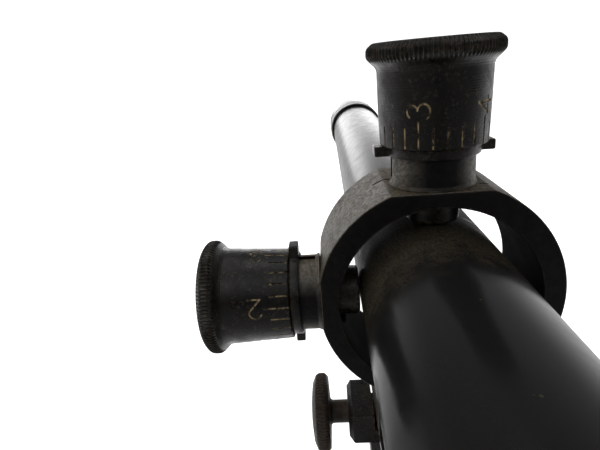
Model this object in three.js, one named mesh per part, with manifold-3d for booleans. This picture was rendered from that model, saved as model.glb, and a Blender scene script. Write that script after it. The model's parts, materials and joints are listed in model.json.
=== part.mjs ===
// A vintage target sight: a straight 3/4 inch telescope tube carried in two clamp-on mounts.
// The tube turns about a spherical bush in the front mount, and two micrometer screws in the
// rear mount push it down (elevation) and sideways (windage) against a bow spring.
//
// Millimetres. The origin is the centre of the rear base's underside. +Z is up, +Y runs back to
// the eyepiece and -X is the side of the windage knob and the clamp screws.

import * as THREE from 'three';
import { mergeVertices } from 'three/addons/utils/BufferGeometryUtils.js';
import Module from 'manifold-3d';

const wasm = await Module();
wasm.setup();

// ---------------------------------------------------------------- driving dimensions

const GAP = 0.3; // clearance left between neighbouring solids
const SLIVER = 0.003; // edges shorter than this are merged away
const FINE = 26; // facets round the large turned pieces
const COARSE = 12; // facets round the small turned pieces
const RING_FACETS = 44; // facets round the two rings and the tube

const AXIS_HEIGHT = 34; // tube axis above the underside of the bases
const MOUNT_SPACING = 182.88; // 7.2 inches between the two mounts
const TUBE_RADIUS = 9.525; // 3/4 inch tube
const TUBE_BORE = 8.6;
const TUBE_FRONT = -207.7;
const TUBE_BACK = 143.7;
const FITTING_RADIUS = TUBE_BORE - GAP; // what slides into the tube's bore
const BARREL_RADIUS = 10.67; // objective cell, eyepiece and lock rings

const MOUNT_LENGTH = 14.3; // along the tube
const REAR_RING_RADIUS = 15;
const REAR_RING_RISE = 0.4; // its outside sits above its bore, so the wall is thicker on top
const REAR_RING_BORE = 12.4;
const SPRING_POCKET = 12.9; // radius of the hollow behind the bow spring
const SEAT_HALF_WIDTH = 6;
const FRONT_RING_RADIUS = 16.2;
const BUSH_RADIUS = 13; // spherical bush of the front mount

const KNOB_Y = -1.85; // both knob axes sit ahead of the ring's middle
// Flat under each knob, its thimble's lower edge (both from the tube axis) and its foot's radius.
const ELEVATION = { seat: 14.25, base: 19.3, foot: 6.3 };
const WINDAGE = { seat: 14.6, base: 18.6, foot: 6 };
const SLEEVE_RADIUS = 5;
const SLEEVE_TOP = 23.6;
const THIMBLE_BORE = 5.3;
const SPINDLE_RADIUS = 2.2;
const CONTACT_RADIUS = 3.25; // flat foot of a spindle

const BASE_LENGTH = 28;
const BASE_TOP = 13.5;
const BASE_HALF_WIDTH = 7.9; // across the dovetail
const BASE_SCREW_Y = 10.4;
const CLAMP_HEIGHT = 12.05; // clamp screw axis above the bases' underside
const CLAMP_SCREW_RADIUS = 1.7;
const JAW_LENGTH = 8.4;
const JAW_OUTER_X = 12;
const SPRING_ANGLE = -Math.PI / 4; // the bow spring pushes up and towards the windage knob
const SPRING_WIDTH = 8;

// ---------------------------------------------------------------- materials

const LOOKS = {
  bluedSteel: { color: 0x17171a, roughness: 0.3, metalness: 0.6 },
  blackTube: { color: 0x101012, roughness: 0.22, metalness: 0.4 },
  wornSteel: { color: 0x6e6962, roughness: 0.55, metalness: 0.8 },
  patina: { color: 0x2d2621, roughness: 0.6, metalness: 0.7 },
  springSteel: { color: 0x50545c, roughness: 0.35, metalness: 0.9 },
  innerBlack: { color: 0x0c0c0c, roughness: 0.8, metalness: 0.3 },
  brass: { color: 0x8c7440, roughness: 0.4, metalness: 0.9 },
  glass: { color: 0xb8cccc, roughness: 0.05, metalness: 0, transparent: true, opacity: 0.35 },
};

// ---------------------------------------------------------------- solid helpers

/** Turns a closed three.js geometry into a manifold solid, leaving out collapsed triangles. */
function solidOf(geometry) {
  const bare = geometry.clone();
  bare.deleteAttribute('normal');
  bare.deleteAttribute('uv');
  const merged = mergeVertices(bare);
  const index = merged.index.array;
  const triangles = [];
  for (let i = 0; i < index.length; i += 3) {
    const [a, b, c] = [index[i], index[i + 1], index[i + 2]];
    if (a !== b && b !== c && c !== a) triangles.push(a, b, c);
  }
  return new wasm.Manifold(new wasm.Mesh({
    numProp: 3,
    vertProperties: merged.attributes.position.array,
    triVerts: new Uint32Array(triangles),
  }));
}

/** Turns a manifold solid back into a three.js geometry, without slivers. */
function geometryOf(solid) {
  const mesh = solid.simplify(SLIVER).getMesh();
  const geometry = new THREE.BufferGeometry();
  geometry.setAttribute('position', new THREE.BufferAttribute(mesh.vertProperties, 3));
  geometry.setIndex(new THREE.BufferAttribute(mesh.triVerts, 1));
  geometry.computeVertexNormals();
  return geometry;
}

/** Twice the signed area of an outline, positive when it runs anticlockwise. */
function signedArea(outline) {
  return outline.reduce((sum, [x, y], i) => {
    const [nextX, nextY] = outline[(i + 1) % outline.length];
    return sum + x * nextY - nextX * y;
  }, 0);
}

/** A turned piece about the Y axis from an outline of [radius, y] points. */
function turned(outline, facets = FINE) {
  const points = signedArea(outline) > 0 ? [...outline] : [...outline].reverse();
  while (points[0][0] !== 0 && points.some(([r]) => r === 0)) points.push(points.shift());
  if (points[0][0] !== 0) {
    points.push(points[0]);
  } else if (points[points.length - 1][0] !== 0) {
    points.push(points.shift());
  }
  const profile = points.map(([r, y]) => new THREE.Vector2(r, y));
  return solidOf(new THREE.LatheGeometry(profile, facets));
}

/** A plain turned tube or rod from y0 to y1. */
function sleeve(outer, inner, y0, y1, facets = FINE) {
  return turned([[inner, y0], [outer, y0], [outer, y1], [inner, y1]], facets);
}

/** A prism with its outline in the XZ plane, centred on Y = 0. */
function prism(outline, length) {
  const points = signedArea(outline) > 0 ? outline : [...outline].reverse();
  const shape = new THREE.Shape(points.map(([x, z]) => new THREE.Vector2(x, z)));
  const geometry = new THREE.ExtrudeGeometry(shape, { depth: length, bevelEnabled: false });
  geometry.translate(0, 0, -length / 2);
  geometry.rotateX(Math.PI / 2);
  return solidOf(geometry);
}

/** A box given by its centre and its size. */
function block(centre, size) {
  const geometry = new THREE.BoxGeometry(...size);
  geometry.translate(...centre);
  return solidOf(geometry);
}

/** A rod along 'x', 'y' or 'z' through a point, from one coordinate to another. */
function rod(axis, radius, from, to, [x, y, z] = [0, 0, 0], facets = COARSE) {
  const geometry = new THREE.CylinderGeometry(radius, radius, to - from, facets);
  geometry.translate(0, (from + to) / 2, 0);
  if (axis === 'x') geometry.rotateZ(-Math.PI / 2);
  if (axis === 'z') geometry.rotateX(Math.PI / 2);
  geometry.translate(x, y, z);
  return solidOf(geometry);
}

/** Joins several solids into one. */
function join(...solids) {
  return solids.reduce((all, solid) => all.add(solid));
}

/** Cuts several solids away from the first. */
function cut(solid, ...tools) {
  return tools.reduce((left, tool) => left.subtract(tool), solid);
}

/** A solid turned about the Y axis, angle measured from +X towards +Z. */
function aboutTube(solid, angle) {
  return solid.rotate([0, -THREE.MathUtils.radToDeg(angle), 0]);
}

/** Points of an arc bulging from [r0, y0] on the axis, for lens faces. */
function lensFace(rim, rimY, sagitta, steps = 3) {
  const points = [];
  for (let i = 0; i <= steps; i += 1) {
    const r = (rim * i) / steps;
    points.push([r, rimY + sagitta * (1 - (r / rim) ** 2)]);
  }
  return points;
}

/** A lens between two faces; a positive sagitta bulges towards +Y. */
function lens(rim, frontY, frontSagitta, backY, backSagitta) {
  const front = lensFace(rim, frontY, frontSagitta);
  const back = lensFace(rim, backY, backSagitta).reverse();
  return turned([...front, ...back], COARSE);
}

/** A slotted screw along +Y: head from y = 0 upwards, shank below it. */
function slottedScrew(headRadius, headHeight, shankRadius, shankLength) {
  const bevel = headHeight * 0.25;
  const body = turned([
    [0, -shankLength], [shankRadius, -shankLength], [shankRadius, 0], [headRadius, 0],
    [headRadius, headHeight - bevel], [headRadius - bevel, headHeight], [0, headHeight],
  ], COARSE);
  const slotDepth = headHeight * 0.45;
  const slot = block([0, headHeight, 0], [headRadius * 3, slotDepth * 2, headRadius * 0.3]);
  return cut(body, slot);
}

/** Adds a named piece to a group. */
function addPiece(group, name, solid, look) {
  const mesh = new THREE.Mesh(geometryOf(solid), new THREE.MeshStandardMaterial(LOOKS[look]));
  mesh.name = name;
  group.add(mesh);
}

// ---------------------------------------------------------------- mounts

/** Outline of the foot that hooks over a base's dovetail on its +X side. */
function footOutline(ringRadius) {
  const left = -8;
  const underside = BASE_TOP + GAP;
  const merge = AXIS_HEIGHT - ringRadius * 0.75;
  return [
    [left, underside], [8.25, underside], [8.25, 12.13], [6.2, 9.75], [11.4, 9.75],
    [JAW_OUTER_X, 10.4], [JAW_OUTER_X, 14.6], [8.9, 18.2], [8.4, merge], [left, merge],
  ];
}

/** Clearance hole for a clamp screw, across the mount. */
function clampHole(radius) {
  return rod('x', radius, -20, 20, [0, 0, CLAMP_HEIGHT]);
}

/** Foot of a mount before the ring's bore is cut, in the mount's own position. */
function mountFoot(ringRadius) {
  return cut(prism(footOutline(ringRadius), MOUNT_LENGTH), clampHole(CLAMP_SCREW_RADIUS + GAP));
}

/** Radial hole in the rear ring for the bow spring's screw. */
function springScrewHole() {
  return aboutTube(rod('x', 1.5, 5, 20), SPRING_ANGLE).translate([0, 0, AXIS_HEIGHT]);
}

/** Hollow in the rear ring's bore that leaves the bow spring room. */
function springPocket() {
  const reach = THREE.MathUtils.degToRad(36);
  const arc = Array.from({ length: 13 }, (_, i) => {
    const angle = SPRING_ANGLE + reach * (i / 6 - 1);
    return [SPRING_POCKET * Math.cos(angle), SPRING_POCKET * Math.sin(angle)];
  });
  return prism([[0, 0], ...arc], SPRING_WIDTH + 2 * GAP).translate([0, 0, AXIS_HEIGHT]);
}

function rearRing() {
  const half = MOUNT_LENGTH / 2;
  const chamfer = 0.35;
  const disc = turned([
    [0, -half], [REAR_RING_RADIUS - chamfer, -half], [REAR_RING_RADIUS, -half + chamfer],
    [REAR_RING_RADIUS, half - chamfer], [REAR_RING_RADIUS - chamfer, half], [0, half],
  ], RING_FACETS).translate([0, 0, AXIS_HEIGHT + REAR_RING_RISE]);
  const reach = REAR_RING_RADIUS - ELEVATION.seat + 1;
  const width = SEAT_HALF_WIDTH * 2;
  const neckHole = SLEEVE_RADIUS - 0.5;
  return cut(
    join(disc, mountFoot(REAR_RING_RADIUS)),
    rod('y', REAR_RING_BORE, -half - 1, half + 1, [0, 0, AXIS_HEIGHT], RING_FACETS),
    springPocket(),
    block([0, 0, AXIS_HEIGHT + ELEVATION.seat + reach / 2], [width, MOUNT_LENGTH + 2, reach]),
    block([-WINDAGE.seat - reach / 2, 0, AXIS_HEIGHT], [reach, MOUNT_LENGTH + 2, width]),
    rod('z', neckHole, AXIS_HEIGHT + 9, AXIS_HEIGHT + 20, [0, KNOB_Y, 0]),
    rod('x', neckHole, -20, -9, [0, KNOB_Y, AXIS_HEIGHT]),
    springScrewHole(),
  );
}

/** Front ring: spherical seat behind the bush, open in front for the bush and its retainer. */
function frontRing() {
  const half = MOUNT_LENGTH / 2;
  const seat = BUSH_RADIUS + GAP;
  const seatRadius = (y) => Math.sqrt(seat ** 2 - y ** 2);
  const bore = [[0, -half - 1], [13.9, -half - 1], [13.9, 0]];
  for (let i = 0; i <= 4; i += 1) bore.push([seatRadius((half * i) / 4), (half * i) / 4]);
  bore.push([seatRadius(half), half + 1], [0, half + 1]);
  const disc = sleeve(FRONT_RING_RADIUS, 9, -half, half, RING_FACETS).translate([0, 0, AXIS_HEIGHT]);
  return cut(
    join(disc, mountFoot(FRONT_RING_RADIUS)),
    turned(bore, RING_FACETS).translate([0, 0, AXIS_HEIGHT]),
  );
}

function frontBush() {
  const half = 6;
  const outline = [[TUBE_RADIUS + GAP, -half]];
  for (let i = -3; i <= 3; i += 1) {
    const y = (half * i) / 3;
    outline.push([Math.sqrt(BUSH_RADIUS ** 2 - y ** 2), y]);
  }
  outline.push([TUBE_RADIUS + GAP, half]);
  return turned(outline);
}

function frontRetainer() {
  const seat = BUSH_RADIUS + GAP;
  const face = -MOUNT_LENGTH / 2;
  const inner = -3;
  const outline = [[13.6, inner], [13.6, face]];
  for (let i = 0; i <= 3; i += 1) {
    const y = face + ((inner - face) * i) / 3;
    outline.push([Math.sqrt(seat ** 2 - y ** 2), y]);
  }
  return turned(outline);
}

/** Dovetail block that the mount sits on, with a cross groove for the clamp screw. */
function baseBlock() {
  const half = [[8.6, 0], [8.6, 3], [6, 4.6], [5.6, 9.6], [BASE_HALF_WIDTH, 12.2],
    [BASE_HALF_WIDTH, BASE_TOP]];
  const mirrored = half.map(([x, z]) => [-x, z]).reverse();
  const groove = CLAMP_SCREW_RADIUS + 0.5;
  const grooveWidth = groove * 1.96;
  const screwHoles = [-BASE_SCREW_Y, BASE_SCREW_Y].map((y) => join(
    rod('z', 1.9, -1, BASE_TOP + 1, [0, y, 0]),
    rod('z', 3, BASE_TOP - 1.7, BASE_TOP + 1, [0, y, 0]),
  ));
  return cut(
    prism([...half, ...mirrored], BASE_LENGTH),
    rod('x', groove, -20, 20, [0, 0, CLAMP_HEIGHT]),
    block([0, 0, BASE_TOP], [40, grooveWidth, (BASE_TOP - CLAMP_HEIGHT) * 2]),
    ...screwHoles,
  );
}

function baseScrew() {
  const seat = BASE_TOP - 1.7 + GAP;
  return slottedScrew(2.7, 1.3, 1.6, seat - 0.6).rotate([90, 0, 0]).translate([0, 0, seat]);
}

/** Movable jaw: a chamfered block whose lower lip hooks under the dovetail. */
function clampJaw() {
  const outline = [
    [-JAW_OUTER_X, 10.6], [-11.2, 9.75], [-6.2, 9.75], [-8.3, 12.13], [-8.3, 14.5],
    [-11.4, 14.5], [-JAW_OUTER_X, 13.9],
  ];
  const corners = [-1, 1].map((side) => block([0, 0, 0], [3, 3, 20])
    .rotate([0, 0, 45])
    .translate([-JAW_OUTER_X - 0.9, side * (JAW_LENGTH / 2 + 0.6), CLAMP_HEIGHT]));
  return cut(prism(outline, JAW_LENGTH), clampHole(CLAMP_SCREW_RADIUS + GAP), ...corners);
}

/** Thumbscrew along +Y before it is turned to point out of the mount. */
function thumbscrew() {
  const r = CLAMP_SCREW_RADIUS;
  return turned([
    [0, -10.8], [r - 0.4, -10.8], [r, -10.4], [r, 14.3], [r + 0.5, 14.75], [5.2, 14.85],
    [5.65, 15.2], [5.8, 15.9], [5.55, 16.7], [4.6, 17.1], [2.6, 17.4], [0, 17.5],
  ]);
}

/** Bow spring in the rear ring: its middle is screwed to the ring, its ends press the tube. */
function bowSpring() {
  const reach = THREE.MathUtils.degToRad(32);
  const thickness = 0.35;
  const steps = 14;
  const strip = (side) => Array.from({ length: steps + 1 }, (_, i) => {
    const swing = (2 * i) / steps - 1;
    const r = 12.4 - 2.1 * swing * swing + (side * thickness) / 2;
    const angle = SPRING_ANGLE + swing * reach;
    return [r * Math.cos(angle), r * Math.sin(angle)];
  });
  const outline = [...strip(1), ...strip(-1).reverse()];
  const hole = aboutTube(rod('x', 1.5, 5, 20), SPRING_ANGLE);
  return cut(prism(outline, SPRING_WIDTH), hole).translate([0, 0, AXIS_HEIGHT]);
}

function bowSpringScrew() {
  const head = REAR_RING_RADIUS + GAP;
  const tip = 12.45;
  const screw = slottedScrew(2.4, 1.1, 1.2, head - tip);
  const alongX = screw.rotate([0, 0, -90]).translate([head, 0, 0]);
  return aboutTube(alongX, SPRING_ANGLE).translate([0, 0, AXIS_HEIGHT]);
}

/** Clamp pieces, base and screws that both mounts share. */
function addClamp(mount, prefix) {
  addPiece(mount, `${prefix}_base`, baseBlock(), 'bluedSteel');
  addPiece(mount, `${prefix}_base_screw_front`, baseScrew().translate([0, -BASE_SCREW_Y, 0]), 'wornSteel');
  addPiece(mount, `${prefix}_base_screw_back`, baseScrew().translate([0, BASE_SCREW_Y, 0]), 'wornSteel');
  addPiece(mount, `${prefix}_jaw`, clampJaw(), 'bluedSteel');
  const screwGroup = new THREE.Group();
  screwGroup.position.set(0, 0, CLAMP_HEIGHT);
  screwGroup.rotation.z = Math.PI / 2;
  addPiece(screwGroup, `${prefix}_thumbscrew`, thumbscrew(), 'patina');
  mount.add(screwGroup);
}

// ---------------------------------------------------------------- micrometer knobs

/** Slotted neck that carries a thimble; its tenon goes through the ring. */
function neckSleeve(seatHeight) {
  const seat = seatHeight + GAP;
  const body = turned([
    [3.6, 13.2], [4.2, 13.2], [4.2, seat], [SLEEVE_RADIUS, seat], [SLEEVE_RADIUS, SLEEVE_TOP],
    [2.6, SLEEVE_TOP], [2.6, 15.6], [3.6, 15.6],
  ]);
  const keySlot = block([-SLEEVE_RADIUS, SLEEVE_TOP, 0], [1.7, (SLEEVE_TOP - 15.1) * 2, 0.9]);
  return cut(body, keySlot);
}

/** Thimble: flared skirt, fillet and rounded rim, hollow over the neck, its top recessed. */
function thimble(base, foot) {
  const outline = [
    [THIMBLE_BORE, 0], [foot, 0], [6.55, 8.87], [6.72, 9.15], [7.15, 9.35], [7.5, 9.7],
    [7.65, 10.2], [7.6, 10.8], [7.3, 11.25], [6.8, 11.5], [4.6, 11.5], [4.2, 11.1],
    [4.2, 10.4], [2.5, 10.4], [2.5, 8.2], [THIMBLE_BORE, 8.2],
  ];
  return turned(outline.map(([r, y]) => [r, y + base]));
}

function spindle(base) {
  const top = base + 9.6;
  const contact = TUBE_RADIUS + GAP;
  return turned([
    [0, contact], [CONTACT_RADIUS - 0.4, contact], [CONTACT_RADIUS, contact + 0.4],
    [CONTACT_RADIUS, 13.2], [SPINDLE_RADIUS, 13.2], [SPINDLE_RADIUS, top], [1.5, top],
    [1.5, top - 3.4], [0, top - 3.4],
  ], COARSE);
}

/** Index washer that rides under the thimble, keyed to the neck, with two marked ears. */
function indexRing(base) {
  const low = base - 1.3;
  const high = base - GAP;
  const middle = (low + high) / 2;
  const ears = block([0, middle, 0], [14.2, high - low, 2.4]);
  const washer = join(sleeve(5.6, THIMBLE_BORE, low, high), ears);
  const bore = rod('y', THIMBLE_BORE, low - 1, high + 1, [0, 0, 0], FINE);
  const key = block([-5, middle, 0], [1.2, high - low, 0.6]);
  return join(cut(washer, bore), key);
}

function clickSpring(base) {
  return sleeve(4.9, 2.6, base + 7.3, base + 7.7, COARSE);
}

function capScrew(base) {
  return slottedScrew(3.4, 0.8, 1.2, 3.4).translate([0, base + 10.7, 0]);
}

/** One complete knob in a group whose +Y runs outwards from the tube axis. */
function addKnob(mount, prefix, { base, seat, foot }, place) {
  const knob = new THREE.Group();
  place(knob);
  addPiece(knob, `${prefix}_sleeve`, neckSleeve(seat), 'bluedSteel');
  addPiece(knob, `${prefix}_index_ring`, indexRing(base), 'bluedSteel');
  addPiece(knob, `${prefix}_thimble`, thimble(base, foot), 'bluedSteel');
  addPiece(knob, `${prefix}_spindle`, spindle(base), 'bluedSteel');
  addPiece(knob, `${prefix}_cap_screw`, capScrew(base), 'bluedSteel');
  addPiece(knob, `${prefix}_click_spring`, clickSpring(base), 'springSteel');
  mount.add(knob);
}

// ---------------------------------------------------------------- telescope

// Screws through the tube wall, each with its station and its angle about the tube.
const ERECTOR_SCREWS = [[60, -Math.PI / 2], [85, -Math.PI / 2]];
const RETICLE_SCREWS = [[120.5, -Math.PI / 2], [120.5, Math.PI / 6], [120.5, -Math.PI / 6]];

/** A solid that points along +X, moved to one station and angle on the tube. */
function atStation(solid, [y, angle]) {
  return aboutTube(solid, angle).translate([0, y, 0]);
}

/** Radial holes at a list of stations. */
function radialHoles(radius, from, stations) {
  return join(...stations.map((station) => atStation(rod('x', radius, from, 12), station)));
}

/** One named screw for each station. */
function addWallScrews(scope, name, innerEnd, radius, stations) {
  stations.forEach((station, i) => {
    addPiece(scope, `${name}_${i + 1}`, atStation(wallScrew(innerEnd, radius), station), 'bluedSteel');
  });
}

/** Flush screw pointing along +X through the tube wall. */
function wallScrew(innerEnd, radius) {
  const head = 0.5;
  const flush = TUBE_RADIUS - 0.15;
  return slottedScrew(radius, head, radius - 0.3, flush - head - innerEnd)
    .translate([0, flush - head, 0]).rotate([0, 0, -90]);
}

function mainTube() {
  return cut(
    sleeve(TUBE_RADIUS, TUBE_BORE, TUBE_FRONT, TUBE_BACK, RING_FACETS),
    radialHoles(1.8, 5, ERECTOR_SCREWS),
    radialHoles(1.5, 5, RETICLE_SCREWS),
  );
}

function objectiveCell() {
  return turned([
    [9.1, -222], [10.3, -222], [BARREL_RADIUS, -221.6], [BARREL_RADIUS, -212.7], [10.3, -212.3],
    [FITTING_RADIUS, -212.3], [FITTING_RADIUS, -199], [7.4, -199], [7.4, -213.5], [9.1, -213.5],
  ]);
}

function addObjective(scope) {
  addPiece(scope, 'objective_cell', objectiveCell(), 'bluedSteel');
  addPiece(scope, 'objective_lock_ring', sleeve(BARREL_RADIUS, TUBE_BORE, -212, -208), 'springSteel');
  addPiece(scope, 'objective_crown_lens', lens(8.8, -218.9, -0.9, -217.4, 1), 'glass');
  addPiece(scope, 'objective_flint_lens', lens(8.8, -217, 1, -213.9, -0.3), 'glass');
  addPiece(scope, 'objective_retainer', sleeve(8.8, 7.9, -221.5, -219.3), 'innerBlack');
}

function erectorCell() {
  const tube = turned([
    [FITTING_RADIUS, 45], [FITTING_RADIUS, 100], [7.6, 100], [7.6, 95], [6.9, 95], [6.9, 50],
    [7.6, 50], [7.6, 45],
  ]);
  return cut(tube, radialHoles(1.8, 5, ERECTOR_SCREWS));
}

function addErector(scope) {
  addPiece(scope, 'erector_cell', erectorCell(), 'brass');
  addPiece(scope, 'erector_front_lens', lens(7.3, 47, -0.7, 49.2, 0.4), 'glass');
  addPiece(scope, 'erector_rear_lens', lens(7.3, 95.8, -0.4, 98, 0.7), 'glass');
  addPiece(scope, 'erector_front_retainer', sleeve(7.3, 6.6, 45.1, 46.1, COARSE), 'innerBlack');
  addPiece(scope, 'erector_rear_retainer', sleeve(7.3, 6.6, 98.9, 99.9, COARSE), 'innerBlack');
  addWallScrews(scope, 'erector_screw', 7.1, 1.5, ERECTOR_SCREWS);
}

/** Reticle: a ring held by three screws, with the cross hairs stretched on a thin frame. */
function addReticle(scope) {
  const ring = cut(
    turned([
      [FITTING_RADIUS, 118], [FITTING_RADIUS, 123], [6.4, 123], [6.4, 119.2], [7.3, 119.2],
      [7.3, 118],
    ]),
    radialHoles(1.5, 7.4, RETICLE_SCREWS),
  );
  const hairs = join(
    sleeve(7, 6.2, 118.2, 118.8, COARSE),
    block([0, 118.5, 0], [13, 0.16, 0.16]),
    block([0, 118.5, 0], [0.16, 0.16, 13]),
  );
  addPiece(scope, 'reticle_ring', ring, 'brass');
  addPiece(scope, 'crosshair', hairs, 'innerBlack');
  addWallScrews(scope, 'reticle_screw', 7.8, 1.2, RETICLE_SCREWS);
}

function eyepieceShell() {
  return turned([
    [FITTING_RADIUS, 131], [FITTING_RADIUS, 148.3], [10.3, 148.3], [BARREL_RADIUS, 148.7],
    [BARREL_RADIUS, 165.2], [10.3, 165.7], [8.9, 165.7], [8.9, 158.5], [7.2, 158.5],
    [7.2, 136.2], [7.6, 136.2], [7.6, 131],
  ]);
}

function addEyepiece(scope) {
  addPiece(scope, 'eyepiece_shell', eyepieceShell(), 'bluedSteel');
  addPiece(scope, 'eyepiece_lock_ring', sleeve(BARREL_RADIUS, TUBE_BORE, 144, 148), 'springSteel');
  addPiece(scope, 'field_lens', lens(7.3, 133.2, -0.5, 135.4, 0.4), 'glass');
  addPiece(scope, 'field_lens_retainer', sleeve(7.3, 6.5, 131.2, 132.2, COARSE), 'innerBlack');
  addPiece(scope, 'field_stop', sleeve(6.9, 4.6, 150, 151, COARSE), 'innerBlack');
  addPiece(scope, 'eye_lens', lens(8.6, 159.8, -0.6, 161.8, 0.9), 'glass');
  addPiece(scope, 'eye_retainer', sleeve(8.6, 7.3, 163.1, 165.2), 'innerBlack');
}

/** Stop collar that keeps the tube's place lengthways, held by one radial screw. */
function addStopCollar(scope) {
  const middle = -164;
  const half = 3.5;
  const collar = cut(
    sleeve(12.2, TUBE_RADIUS + GAP, middle - half, middle + half),
    rod('z', 1.8, 5, 20, [0, middle, 0]),
  );
  const screw = slottedScrew(2.6, 1.6, 1.5, 2.4).rotate([90, 0, 0]).translate([0, middle, 12.6]);
  addPiece(scope, 'stop_collar', collar, 'bluedSteel');
  addPiece(scope, 'stop_collar_screw', screw, 'bluedSteel');
}

// ---------------------------------------------------------------- assembly

const sight = new THREE.Group();

const rearMount = new THREE.Group();
addPiece(rearMount, 'rear_ring', rearRing(), 'wornSteel');
addPiece(rearMount, 'bow_spring', bowSpring(), 'springSteel');
addPiece(rearMount, 'bow_spring_screw', bowSpringScrew(), 'bluedSteel');
addClamp(rearMount, 'rear');
addKnob(rearMount, 'elevation', ELEVATION, (knob) => {
  knob.position.set(0, KNOB_Y, AXIS_HEIGHT);
  knob.rotation.set(Math.PI / 2, 0, 0);
});
addKnob(rearMount, 'windage', WINDAGE, (knob) => {
  knob.position.set(0, KNOB_Y, AXIS_HEIGHT);
  knob.rotation.set(0, Math.PI / 2, Math.PI / 2, 'ZYX');
});
sight.add(rearMount);

const frontMount = new THREE.Group();
frontMount.position.y = -MOUNT_SPACING;
addPiece(frontMount, 'front_ring', frontRing(), 'wornSteel');
addClamp(frontMount, 'front');
const frontBearing = new THREE.Group();
frontBearing.position.z = AXIS_HEIGHT;
addPiece(frontBearing, 'front_bush', frontBush(), 'springSteel');
addPiece(frontBearing, 'front_retainer', frontRetainer(), 'bluedSteel');
frontMount.add(frontBearing);
sight.add(frontMount);

const scope = new THREE.Group();
scope.position.z = AXIS_HEIGHT;
addPiece(scope, 'main_tube', mainTube(), 'blackTube');
addStopCollar(scope);
addObjective(scope);
addErector(scope);
addReticle(scope);
addEyepiece(scope);
sight.add(scope);

export default sight;
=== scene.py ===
import json
import math

import bmesh
import bpy
import numpy as np
from mathutils import Matrix, Vector
from mathutils.geometry import tessellate_polygon


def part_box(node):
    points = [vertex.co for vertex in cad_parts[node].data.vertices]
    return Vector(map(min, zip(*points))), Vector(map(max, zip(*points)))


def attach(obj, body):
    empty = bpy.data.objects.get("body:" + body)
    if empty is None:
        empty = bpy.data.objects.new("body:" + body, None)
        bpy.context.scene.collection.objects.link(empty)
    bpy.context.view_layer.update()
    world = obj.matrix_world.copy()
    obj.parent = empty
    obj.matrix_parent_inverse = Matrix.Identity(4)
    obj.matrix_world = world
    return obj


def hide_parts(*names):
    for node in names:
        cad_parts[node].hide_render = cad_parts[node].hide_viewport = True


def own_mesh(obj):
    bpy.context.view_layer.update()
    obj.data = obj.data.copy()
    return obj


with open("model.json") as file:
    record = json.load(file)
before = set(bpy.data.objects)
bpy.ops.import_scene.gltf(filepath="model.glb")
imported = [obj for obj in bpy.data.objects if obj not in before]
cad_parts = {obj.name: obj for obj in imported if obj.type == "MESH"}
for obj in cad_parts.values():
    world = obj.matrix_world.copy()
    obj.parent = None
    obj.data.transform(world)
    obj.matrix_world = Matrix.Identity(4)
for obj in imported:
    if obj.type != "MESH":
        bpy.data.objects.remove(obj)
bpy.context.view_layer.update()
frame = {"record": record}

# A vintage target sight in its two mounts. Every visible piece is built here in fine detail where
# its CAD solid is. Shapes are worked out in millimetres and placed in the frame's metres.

RECORD = frame["record"]
BODY_OF = {node: body for body, nodes in RECORD["behaviour"]["bodies"].items() for node in nodes}
SLOT_OF = {part["node"]: part["material_slot"] for part in RECORD["subparts"]}

# ---------------------------------------------------------------- driving dimensions, millimetres

MM = 0.001
GAP = 0.3
TUBE = 9.525
BORE = 8.6
BARREL = 10.67
RING = 15.0
RING_RISE = 0.4
RING_BORE = 12.4
SPRING_POCKET = 12.9
SEATS = {"elevation": 14.25, "windage": 14.6}
FEET = {"elevation": 6.3, "windage": 6.0}
FRONT_RING = 16.2
BUSH = 13.0
MOUNT = 14.3
SLEEVE = 5.0
SLEEVE_TOP = 23.6
JAW_LENGTH = 8.4
BASE_LENGTH = 28.0
BASE_TOP = 13.5
SCREW_SEAT = BASE_TOP - 1.7 + GAP
CLAMP_SHANK = 1.7
SPRING_ANGLE = -45.0
SPRING_REACH = 32.0
SPRING_WIDTH = 8.0
SPRING_CREST = 12.4
SPRING_RISE = 2.1
SPRING_HALF = 0.175

DIVISIONS = 25
TEETH = 100
DIGIT_WIDTH = 1.8
DIGIT_HEIGHT = 2.55
DIGIT_PLACE = 4.3
WASHER = 5.55
SHORT_LINE = 2.5
LONG_LINE = 3.2
ENGRAVED = 0.13
STROKE = 0.12

X_AXIS, Y_AXIS, Z_AXIS = Vector((1, 0, 0)), Vector((0, 1, 0)), Vector((0, 0, 1))


def middle_of(node):
    low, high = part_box(node)
    return (low + high) / 2


TUBE_Z = middle_of("main_tube").z
KNOB_Y = middle_of("elevation_thimble").y
CLAMP_Z = middle_of("rear_thumbscrew").z
MOUNTS = {"rear": middle_of("rear_base").y, "front": middle_of("front_base").y}

# ---------------------------------------------------------------- outlines


def rounded(outline, radius=0.15, steps=4):
    """A closed outline with its corners softened; a third number is a corner's own radius."""
    made = []
    for i, (x, y, *own) in enumerate(outline):
        here = Vector((x, y))
        before = Vector(outline[i - 1][:2]) - here
        after = Vector(outline[(i + 1) % len(outline)][:2]) - here
        turn = math.pi - before.angle(after)
        reach = (own[0] if own else radius) * math.tan(min(turn, 3.0) / 2)
        reach = min(reach, before.length * 0.48, after.length * 0.48)
        if x == 0 or turn < 0.15 or reach < 1e-4:
            made.append((x, y))
            continue
        start = here + before.normalized() * reach
        end = here + after.normalized() * reach
        for k in range(steps + 1):
            t = k / steps
            made.append(tuple(start * (1 - t) ** 2 + here * (2 * t * (1 - t)) + end * t * t))
    return made


def divided(points, step):
    """An open line with no stretch longer than step."""
    made = [points[0]]
    for (x0, y0), (x1, y1) in zip(points, points[1:]):
        count = max(1, math.ceil(math.dist((x0, y0), (x1, y1)) / step))
        for k in range(1, count + 1):
            made.append((x0 + (x1 - x0) * k / count, y0 + (y1 - y0) * k / count))
    return made


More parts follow.
